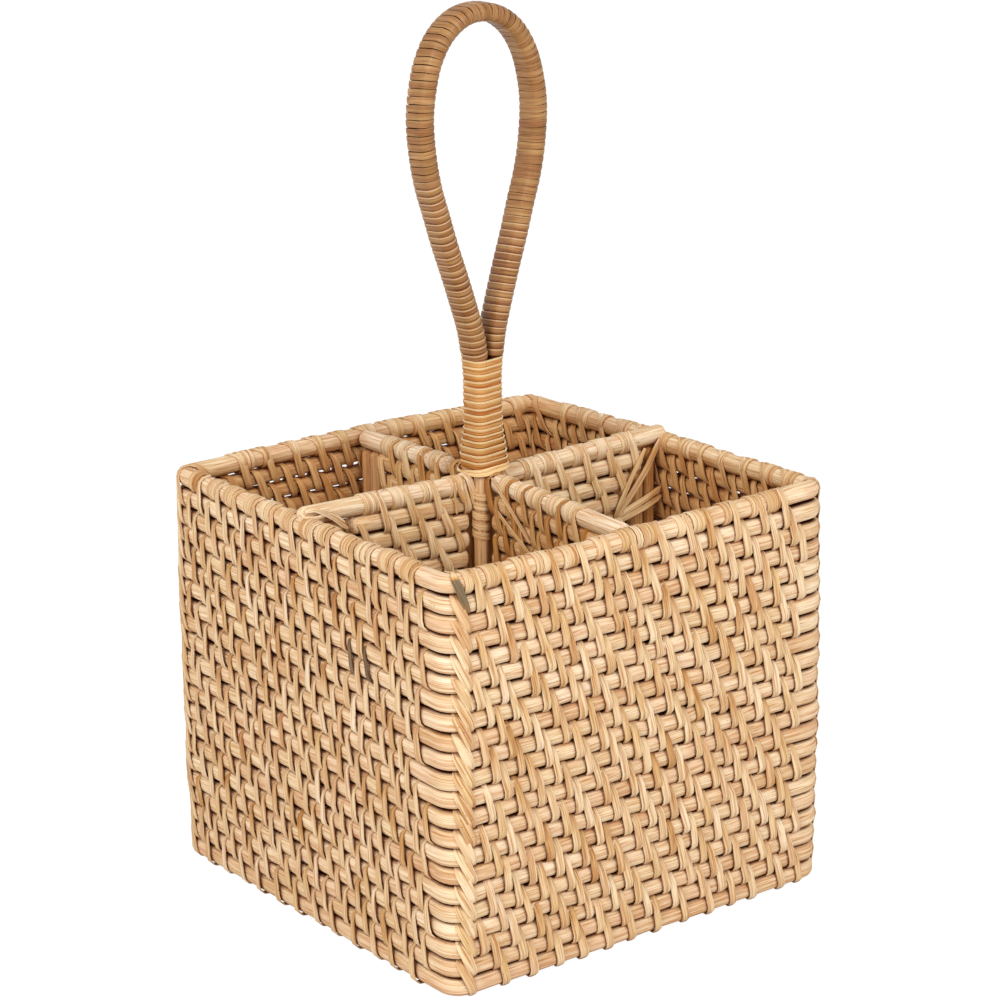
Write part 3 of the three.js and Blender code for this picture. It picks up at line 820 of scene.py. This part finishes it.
def wind(name, centres, half_sizes, pitches, steps, tints, ride, gap, edging=None):
    """centres holds evenly spaced stations along the core. Every turn has its own pitch and tint."""
    turns = len(pitches)
    marks = np.concatenate([[0], np.cumsum(pitches)])
    tangents = np.gradient(centres, axis=0)
    route, outward, tint, width, edges = [], [], [], [], []
    for i in range(turns * steps + 1):
        turn = i / steps
        share = np.interp(turn, range(turns + 1), marks) / marks[-1] * (len(centres) - 1)
        low = min(int(share), len(centres) - 2)
        mix = share - low
        centre = centres[low] * (1 - mix) + centres[low + 1] * mix
        tangent = unit(tangents[low] * (1 - mix) + tangents[low + 1] * mix)
        beside = unit(np.cross([0.0, 1.0, 0.0], tangent))
        half_x, half_y = half_sizes(centre)
        place, way = wound_outline(half_x, half_y, HANDLE_ROD / 2 + WINDING_PADDING, turn % 1)
        route.append(centre + beside * place[0] + np.array([0, place[1], 0]))
        outward.append(beside * way[0] + np.array([0, way[1], 0]) - tangent * ride * tangent[2])
        tint.append(tints[min(int(turn), turns - 1)])
        width.append(np.interp(turn, np.arange(turns) + 0.5, pitches) - gap)
        edges.append(tangent[2] * (edging(centre) if edging else 1.0))
    return make_strip(name, route + CROSSING, unit(np.array(outward)), width, WINDING_THICKNESS, tint,
                      crown=0.1, shift=1000 * chance.uniform(), edging=edges)


# %% Winding of the loop
LOOP_PITCH = 2.6
leg_side = [(x, 0, z) for x, z in TEARDROP]
leg_line, leg_length = smooth_route(
    leaned([(3.3, 0, FORK + 0.6), *leg_side, *[(-x, y, z) for x, y, z in leg_side[-2::-1]],
            (-3.3, 0, FORK + 0.6)]), 400)
loop_turns = round(leg_length / LOOP_PITCH)


def loop_edging(centre):
    """The painted highlight and painted shade on the edges of the turns show on the lower half of the loop,
    and higher up on its left leg.
    """
    start = 262 if centre[0] < 0 else 244
    return float(np.clip((start - centre[2]) / 8, 0, 1))


loop_winding = wind("handle_wrap_loop", leg_line, lambda c: (0.0, HANDLE_SPACING / 2),
                    LOOP_PITCH * chance.uniform(0.93, 1.07, loop_turns), 18,
                    np.clip(chance.normal(0.38, 0.09, loop_turns), 0.1, 0.7), ride=0.1, gap=0.26,
                    edging=loop_edging)
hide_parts("handle_loop_winding")
print("turns round the loop:", loop_turns)

# %% Winding of the neck
NECK_TURNS = 16
NECK_WIDE = [(NECK_BOTTOM, 4.1), (156.0, 3.6), (165.0, 2.6), (184.0, 2.5), (FORK + 1, 3.2)]
NECK_DEEP = [(NECK_BOTTOM, 3.9), (156.0, 3.4), (165.0, 2.6)]
neck_bottom = NECK_BOTTOM + 2.2
neck_line = np.linspace((LOOP_SHIFT, 0, FORK + 0.6), (LOOP_SHIFT, 0, neck_bottom), 60)


def neck_half(centre):
    return [float(np.interp(centre[2], *zip(*sizes))) for sizes in (NECK_WIDE, NECK_DEEP)]


neck_pitch = (FORK + 0.6 - neck_bottom) / NECK_TURNS
neck_winding = wind("handle_neck_wrap", neck_line, neck_half,
                    neck_pitch * chance.uniform(0.88, 1.12, NECK_TURNS), 28,
                    np.clip(chance.normal(0.45, 0.08, NECK_TURNS), 0, 0.8), ride=0.28, gap=-0.35)
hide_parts("handle_neck_winding")
print("turns round the neck:", NECK_TURNS, "each", round(neck_pitch, 2), "mm")

# %% [markdown]
# ## Ties
# Short strips hold the neck's foot, bind the posts and fan out from the ends of the dividers.


# %% A tie through chosen points
TIE_STATIONS = 24


def tie(name, points, outward, width, tint, taper, thickness):
    route, length = smooth_route(points, TIE_STATIONS)
    share = np.linspace(0, 1, TIE_STATIONS)
    ends = np.interp(share, [0, 0.12, 0.88, 1], [taper[0], 1, 1, taper[1]])
    make_strip(name, route, outward, width * ends, thickness, tint, shift=1000 * chance.uniform())


# %% The collar at the neck's foot
COLLAR_STEPS = 48
# Heights and widths by the bearing in degrees: 0 is at the right of the picture, -90 in front.
COLLAR_HEIGHTS = [
    (-180, -0.6), (-150, -0.6), (-100, 0.4), (-60, 0.9), (0, 1.6), (90, 2.0), (150, 1.0), (180, -0.6)]
COLLAR_WIDTHS = [
    (-180, 0.5), (-165, 0.6), (-130, 2.0), (-80, 2.7), (0, 1.9), (60, 1.5), (180, 1.0)]
PICTURE_TURN = 37.45
collar_route, collar_out, collar_widths = [], [], []
for i in range(COLLAR_STEPS + 1):
    place, way = wound_outline(4.0, 4.0, HANDLE_ROD / 2 + 0.75, (i / COLLAR_STEPS + 0.36) % 1)
    bearing = math.degrees(math.atan2(place[1], place[0])) + PICTURE_TURN
    bearing = (bearing + 180) % 360 - 180
    lift = np.interp(bearing, *zip(*COLLAR_HEIGHTS))
    collar_route.append([place[0] + LOOP_SHIFT / 2, place[1], NECK_BOTTOM + lift])
    collar_out.append([way[0], way[1], 0.25])
    collar_widths.append(np.interp(bearing, *zip(*COLLAR_WIDTHS)))
collar = make_strip("handle_neck_collar", collar_route + CROSSING, collar_out, collar_widths,
                    WINDING_THICKNESS, 0.05)
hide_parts("handle_collar")
print("collar of", COLLAR_STEPS, "steps")

# %% Ties on the dividers
# Each line holds a name, its points in mm, its facing, its width and its tone.
FACES_FRONT, FACES_LEFT = (0, -1, 0.15), (-1, 0, 0.1)
TIES = [
    ("right_long", [(56.0, 0.6, 120.8), (57.6, -0.6, 123.4), (68.5, -1.2, 136.2), (76.4, -0.4, 147.2)],
     FACES_FRONT, 2.3, 0.3),
    ("right_steep", [(55.6, 0.3, 121.5), (57.0, -0.9, 126.0), (62.5, -1.6, 136.5), (69.2, -0.6, 145.0)],
     FACES_FRONT, 1.8, 0.42),
    ("right_flat", [(57.2, 0.4, 120.4), (60.0, -0.9, 122.9), (68.0, -1.7, 125.9), (76.6, -1.1, 128.9)],
     FACES_FRONT, 2.3, 0.25),
    ("right_low", [(57.6, 0.6, 119.0), (60.5, -0.9, 120.6), (68.0, -1.7, 122.9), (76.6, -1.1, 125.6)],
     FACES_FRONT, 2.0, 0.35),
    ("left_upper", [(-81.4, -0.6, 150.9), (-77.6, -0.9, 150.9), (-71.5, -0.9, 147.4), (-64.0, -0.4, 141.5)],
     FACES_FRONT, 1.4, 0.1),
    ("left_lower", [(-81.6, -0.2, 148.7), (-77.0, -0.9, 148.0), (-71.5, -0.8, 148.3), (-65.5, -0.6, 144.2)],
     FACES_FRONT, 1.2, 0.25),
    ("front_long", [(-6.3, -6.9, 149.8), (-6.7, -17.0, 141.9), (-6.4, -28.8, 131.3)], FACES_LEFT, 1.4, 0.2),
    ("front_short", [(-6.3, -7.8, 139.4), (-6.8, -18.0, 133.8), (-6.4, -29.8, 126.4)],
     FACES_LEFT, 1.3, 0.35),
]
for name, points, facing, width, tint in TIES:
    tie(f"tie_{name}", points, facing, width, tint, taper=(0.5, 0.5), thickness=0.35)
FRAYED_ENDS = 9
for n in range(FRAYED_ENDS):
    x = -18.0 + 0.95 * n + chance.uniform(-0.5, 0.5)
    sway = chance.uniform(-2.0, 2.5)
    points = [(x, 6.0, 148.6), (x + 0.3 * sway, 3.5, 149.9), (x + 0.6 * sway, 0.6, 148.6),
              (x + sway, -0.4, 145.0), (x + 1.4 * sway + 1.0, -0.7, chance.uniform(137, 142))]
    tie(f"tie_frayed_{n}", points, FACES_FRONT, chance.uniform(0.6, 1.1), chance.uniform(0.1, 0.6),
        taper=(0.6, 0.3), thickness=0.3)
print("ties:", len(TIES), "and", FRAYED_ENDS, "frayed ends")

# %% Turns round the front post
POST_TURNS, POST_STEPS, POST_PITCH = 5, 16, 3.6
POST_PLACE, POST_REACH = -4.2, HANDLE_ROD / 2 + 0.25
post_route, post_out = [], []
for i in range(POST_TURNS * POST_STEPS + 1):
    angle = 2 * math.pi * i / POST_STEPS
    post_out.append([math.cos(angle), math.sin(angle), 0])
    post_route.append([POST_REACH * math.cos(angle) + POST_PLACE, POST_REACH * math.sin(angle) + POST_PLACE,
                       NECK_BOTTOM - 6.0 - POST_PITCH * i / POST_STEPS])
make_strip("tie_post", post_route + CROSSING, post_out, 2.4, 0.4, 0.3)

# %% [markdown]
# ## The floor of the box
# One rod is folded to and fro inside the lowest course. The photograph doesn't show it.

# %% Floor rod
FLOOR_REACH = WALL_HALF - ROD / 2 - 0.3
runs = int(2 * (FLOOR_REACH - ROD / 2) / COURSE_PITCH) + 1
run_end = FLOOR_REACH - ROD / 2 - COURSE_PITCH / 2
RUN_STEPS, BEND_STEPS = 20, 8
floor_points = []
for run in range(runs):
    y = (run - (runs - 1) / 2) * COURSE_PITCH
    way = 1 if run % 2 == 0 else -1
    floor_points += [[way * run_end * share, y, ROD / 2] for share in np.linspace(-1, 1, RUN_STEPS + 1)]
    if run < runs - 1:
        floor_points += [[way * (run_end + COURSE_PITCH / 2 * math.sin(a)),
                          y + COURSE_PITCH / 2 * (1 - math.cos(a)), ROD / 2]
                         for a in np.linspace(0, math.pi, BEND_STEPS + 1)[1:-1]]
floor_route = np.array(floor_points)
# Painted shade darkens the sides of the floor rod, where its runs lie against each other.
floor_rod = make_rod("floor_rod", floor_route, (0, 0, 1), ROD / 2 - 0.02, 0.5,
                     dirt=lambda travel, y, z: np.clip((np.abs(y) / (ROD / 2) - 0.8) / 0.2, 0, 1))
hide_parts("base_rod")
print("floor runs:", runs)

# %% [markdown]
# ## Materials
# The rods are rattan core: pale straw, dull, with fine dark fibre lines along the rod and a
# few brown specks. The strips are split skin: a little glossy, from straw to tan.


# %% Colour and node helpers
def colour(code):
    parts = [int(code[i:i + 2], 16) / 255 for i in (1, 3, 5)]
    return [c / 12.92 if c <= 0.04045 else ((c + 0.055) / 1.055) ** 2.4 for c in parts] + [1.0]


def add_node(tree, kind, values, output=0):
    """values holds settings and inputs. A socket is linked, and "#..." and stops are colours."""
    node = tree.nodes.new("ShaderNode" + kind)
    for key, value in values.items():
        if key == "stops":
            elements = node.color_ramp.elements
            while len(elements) < len(value):
                elements.new(0.5)
            for element, (place, tone) in zip(elements, value):
                element.position = place
                element.color = colour(tone) if isinstance(tone, str) else (tone,) * 3 + (1,)
        elif isinstance(value, bpy.types.NodeSocket):
            tree.links.new(value, node.inputs[key])
        elif isinstance(key, int) or key in node.inputs.keys():
            node.inputs[key].default_value = colour(value) if isinstance(value, str) else value
        else:
            setattr(node, key, value)
    return node.outputs[output] if node.outputs else node


def empty_tree(owner):
    owner.use_nodes = True
    owner.node_tree.nodes.clear()
    return owner.node_tree


# %% A rattan finish
# Painted shade inside the box: the tone of the inner faces of the walls, and of everything inside.
WALL_INSIDE_SHADE_TONE = "#EBD3B2"
INSIDE_SHADE_TONE = "#FFF7E6"
# Painted shade where pieces touch: its tone, and how far it reaches in mm.
PAINTED_SHADE_TONE = "#A8683A"
PAINTED_SHADE_REACH = 3.0


def rattan(name, tones, fibre_tone, dust_and_shade_tone, roughness, fibre_mm, bump_mm, shine, pale_edge_and_highlight_tone=None):
    """tones runs from the palest piece to the darkest. fibre_mm is the spacing of the fibre lines."""
    material = bpy.data.materials.new(name)
    tree = empty_tree(material)
    add = functools.partial(add_node, tree)
    lay = add("Attribute", {"attribute_name": "lay"}, "Vector")
    tint, dirt = [add("Attribute", {"attribute_name": noted}, "Fac") for noted in ("tint", "dirt")]

    # The size of each pattern along and across the rod in mm, its detail and its roughness.
    patterns = []
    for along_mm, across_mm, detail, rough in (
            (fibre_mm * 32, fibre_mm, 2.0, 0.55), (38, 1.1, 2.0, 0.5), (13, 5, 2.0, 0.5),
            (24, 9, 1.0, 0.5), (0.9, 0.4, 1.0, 0.5)):
        steps = (1 / (along_mm * MM), 1 / (across_mm * MM), 1 / (across_mm * MM))
        place = add("VectorMath", {"operation": "MULTIPLY", 0: lay, 1: steps})
        patterns.append(add("TexNoise", {
            "Scale": 1.0, "Detail": detail, "Roughness": rough, "Vector": place}, "Fac"))
    fibre, streak, blotch, hue_drift, speck = patterns

    def layered(base, layers):
        """A layer holds a blend, the share it takes, the stops of that share and a tone."""
        for kind, share, stops, tone in layers:
            if stops:
                share = add("ValToRGB", {"Fac": share, "stops": stops})
            base = add("Mix", {
                "data_type": "RGBA", "blend_type": kind, 0: share, 6: base, 7: tone}, 2)
        return base

    spread = add("Math", {"operation": "MULTIPLY_ADD", 0: blotch, 1: 0.55, 2: -0.275})
    picked = add("Math", {"operation": "ADD", 0: tint, 1: spread})
    base = layered(add("ValToRGB", {"Fac": picked, "stops": tones}), [
        ("MULTIPLY", streak, [(0.4, 0.55), (0.56, 0.0)], fibre_tone),
        ("MULTIPLY", fibre, [(0.32, 0.9), (0.5, 0.0)], fibre_tone)])
    hue = add("Math", {"operation": "MULTIPLY_ADD", 0: hue_drift, 1: 0.026, 2: 0.487})
    base = add("HueSaturation", {"Hue": hue, "Color": base})
    layers = [("MIX", speck, [(0.72, 0.0), (0.78, 0.7)], dust_and_shade_tone)]
    # Painted highlight and shade on the windings: the upper edge of each turn is painted pale, for the
    # light it catches and its paler worn skin, and the lower edge is painted darker.
    if pale_edge_and_highlight_tone:
        edge = add("Attribute", {"attribute_name": "edge"}, "Fac")
        lower = add("Math", {"operation": "MULTIPLY", 0: edge, 1: -1.0})
        layers += [("MULTIPLY", lower, [(0.2, 0.0), (0.8, 0.75)], fibre_tone),
                   ("MIX", edge, [(0.55, 0.0), (0.72, 0.75)], pale_edge_and_highlight_tone)]

    # Painted shade: everything inside the box is tinted a little warmer and more gold, and the
    # walls are painted browner inside, for the dimmer, warmer light within the box.
    where = add("TexCoord", {}, "Object")
    where = add("VectorMath", {"operation": "ABSOLUTE", 0: where})
    x, y, z = add("SeparateXYZ", {0: where}).node.outputs
    outer = add("Math", {"operation": "MAXIMUM", 0: x, 1: y})
    on_wall, within, below = [
        add("MapRange", {0: measure, 1: start * MM, 2: end * MM})
        for start, end, measure in ((69, 72, outer), (80, 79, outer), (148, 143, z))]
    inside = add("Math", {"operation": "MULTIPLY", 0: within, 1: below})
    inside_shade_tone = layered(INSIDE_SHADE_TONE, [("MIX", on_wall, None, WALL_INSIDE_SHADE_TONE)])

    # Painted shade: the colour is darkened towards a brown tone where pieces touch or lie close,
    # within about 3 mm, and most of all on the walls.
    contact = add("AmbientOcclusion", {"samples": 4, "Distance": PAINTED_SHADE_REACH * MM}, "AO")
    painted_shade = add("MapRange", {0: contact, 1: 0.62, 2: 0.15})
    share = add("MapRange", {0: on_wall, 3: 0.3, 4: 1.0})
    painted_shade = add("Math", {"operation": "MULTIPLY", 0: painted_shade, 1: share})
    # The groove shade and dust noted on the points are mixed in here as painted shade and dust.
    base = layered(base, layers + [
        ("MIX", dirt, None, dust_and_shade_tone), ("MULTIPLY", inside, None, inside_shade_tone),
        ("MULTIPLY", painted_shade, None, PAINTED_SHADE_TONE)])

    bump = add("Bump", {"Strength": 1.0, "Distance": bump_mm * MM, "Height": fibre})
    rough = add("Math", {"operation": "MULTIPLY_ADD", 0: fibre, 1: 0.3, 2: roughness - 0.15})
    surface = add("BsdfPrincipled", {
        "IOR": 1.5, "Specular IOR Level": shine, "Base Color": base, "Roughness": rough, "Normal": bump})
    add("OutputMaterial", {"Surface": surface})
    return material


# %% The finishes of this holder
def five_stops(*codes):
    return list(zip((0.0, 0.3, 0.55, 0.8, 1.0), codes))


CORE_TONES = five_stops("#F6E4CA", "#EED7B4", "#E5C6A0", "#D2A87B", "#8C6238")
SKIN_TONES = five_stops("#F2DEBF", "#E8CEA6", "#DBB785", "#BF8D4E", "#7A6850")
WRAP_TONES = five_stops("#BE9562", "#AC8251", "#9C7040", "#82562B", "#5A3818")
NECK_TONES = five_stops("#F6DAA2", "#EABE80", "#D89F5B", "#BC7636", "#8C5020")
core_finish = rattan("rattan_core_sanded", CORE_TONES, "#D6AF82", "#4A1D06", 0.75, 0.34, 0.05, 0.1)
skin_finish = rattan("split_rattan_natural", SKIN_TONES, "#CFA372", "#5E3210", 0.6, 0.4, 0.06, 0.2)
wrap_finish = rattan("split_rattan_polished", WRAP_TONES, "#CDA377", "#3A1C08", 0.45, 0.35, 0.03, 0.35,
                     "#D9B288")
neck_finish = rattan("split_rattan_golden", NECK_TONES, "#D2A063", "#5E3210", 0.45, 0.4, 0.03, 0.3,
                     "#F6DFAF")

PEELS = {"lashing": skin_finish, "turns": skin_finish, "tie_": skin_finish,
         "handle_wrap": wrap_finish, "handle_neck": neck_finish}
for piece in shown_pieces():
    if "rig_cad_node" in piece:
        continue
    finish = next((PEELS[word] for word in PEELS if word in piece.name), core_finish)
    piece.data.materials.clear()
    piece.data.materials.append(finish)
    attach(piece, "root")

# %% [markdown]
# ## Stage, light and camera
# A white floor that glows a little for the camera and in reflections, a large soft light in
# front of the box, another at its left, and a soft white sky.

# %% Floor
deselect()
bpy.ops.mesh.primitive_plane_add(size=6, location=(0, 0, -0.0015))
floor = bpy.context.object
floor.name = "floor"
floor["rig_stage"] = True
paper = bpy.data.materials.new("white_paper_floor")
floor.data.materials.append(paper)


def seen_or_reflected(tree):
    rays = add_node(tree, "LightPath", {}).node.outputs
    return add_node(tree, "Math", {
        "operation": "MAXIMUM", 0: rays["Is Camera Ray"], 1: rays["Is Glossy Ray"]})


tree = empty_tree(paper)
part_seen = add_node(tree, "Math", {"operation": "MULTIPLY", 0: seen_or_reflected(tree), 1: 0.85})
diffuse = add_node(tree, "BsdfDiffuse", {"Color": "#E8E8E8"})
glow = add_node(tree, "Emission", {"Strength": 1.13})
mixed = add_node(tree, "MixShader", {0: part_seen, 1: diffuse, 2: glow})
add_node(tree, "OutputMaterial", {"Surface": mixed})
print("floor:", floor.name)

# %% World
world = bpy.data.worlds.new("studio")
bpy.context.scene.world = world
tree = empty_tree(world)
sky = add_node(tree, "Background", {"Color": "#FFFFFF", "Strength": 0.66})
card = add_node(tree, "Background", {"Color": "#FFFFFF", "Strength": 1.0})
mixed = add_node(tree, "MixShader", {0: seen_or_reflected(tree), 1: sky, 2: card})
add_node(tree, "OutputWorld", {"Surface": mixed})
print("world:", world.name)


# %% Lamps
def softbox(name, place, target, size, power):
    deselect()
    bpy.ops.object.light_add(type="AREA", location=place)
    lamp = bpy.context.object
    lamp.name = name
    lamp.data.shape = "DISK"
    lamp.data.size = size
    lamp.data.energy = power
    lamp.rotation_euler = (Vector(place) - Vector(target)).to_track_quat("Z", "Y").to_euler()


softbox("key_front", (0.0, -1.5, 1.1), (0, 0, 0.1), 0.6, 12.0)
softbox("fill_left", (-1.4, -0.5, 0.9), (0, 0, 0.1), 0.8, 13.2)

# %% Camera, solved from the photograph's perspective
AZIMUTH, ELEVATION, ROLL = math.radians(37.45), math.radians(17.25), math.radians(-0.75)
CAMERA_DISTANCE, AIM_HEIGHT, AIM_RIGHT = 1139, 138.8, 1.91
FOCAL_PX, SENSOR = 3207, 36.0
look = np.array([
    math.sin(AZIMUTH) * math.cos(ELEVATION), math.cos(AZIMUTH) * math.cos(ELEVATION), -math.sin(ELEVATION)])
level = np.array([math.cos(AZIMUTH), -math.sin(AZIMUTH), 0.0])
raised = np.cross(level, look)
right = level * math.cos(ROLL) + raised * math.sin(ROLL)
up = -level * math.sin(ROLL) + raised * math.cos(ROLL)
place = (np.array([0, 0, AIM_HEIGHT]) + level * AIM_RIGHT - look * CAMERA_DISTANCE) * MM
deselect()
bpy.ops.object.camera_add()
camera = bpy.context.object
camera.data.sensor_width = SENSOR
camera.data.lens = FOCAL_PX / 1000 * SENSOR
camera.data.clip_start, camera.data.clip_end = 0.05, 20
axes = [[right[i], up[i], -look[i], place[i]] for i in range(3)]
camera.matrix_world = Matrix(axes + [[0, 0, 0, 1]])
bpy.context.scene.camera = camera
bpy.context.scene.view_settings.view_transform = "Standard"
print("lens", round(camera.data.lens, 1), "mm")

# %% Sizes, written beside the CAD box, and the end
visual_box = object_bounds()
for name, box in (("CAD", cad_box), ("visual", visual_box)):
    print(name, [round(v, 4) for corner in box for v in corner])
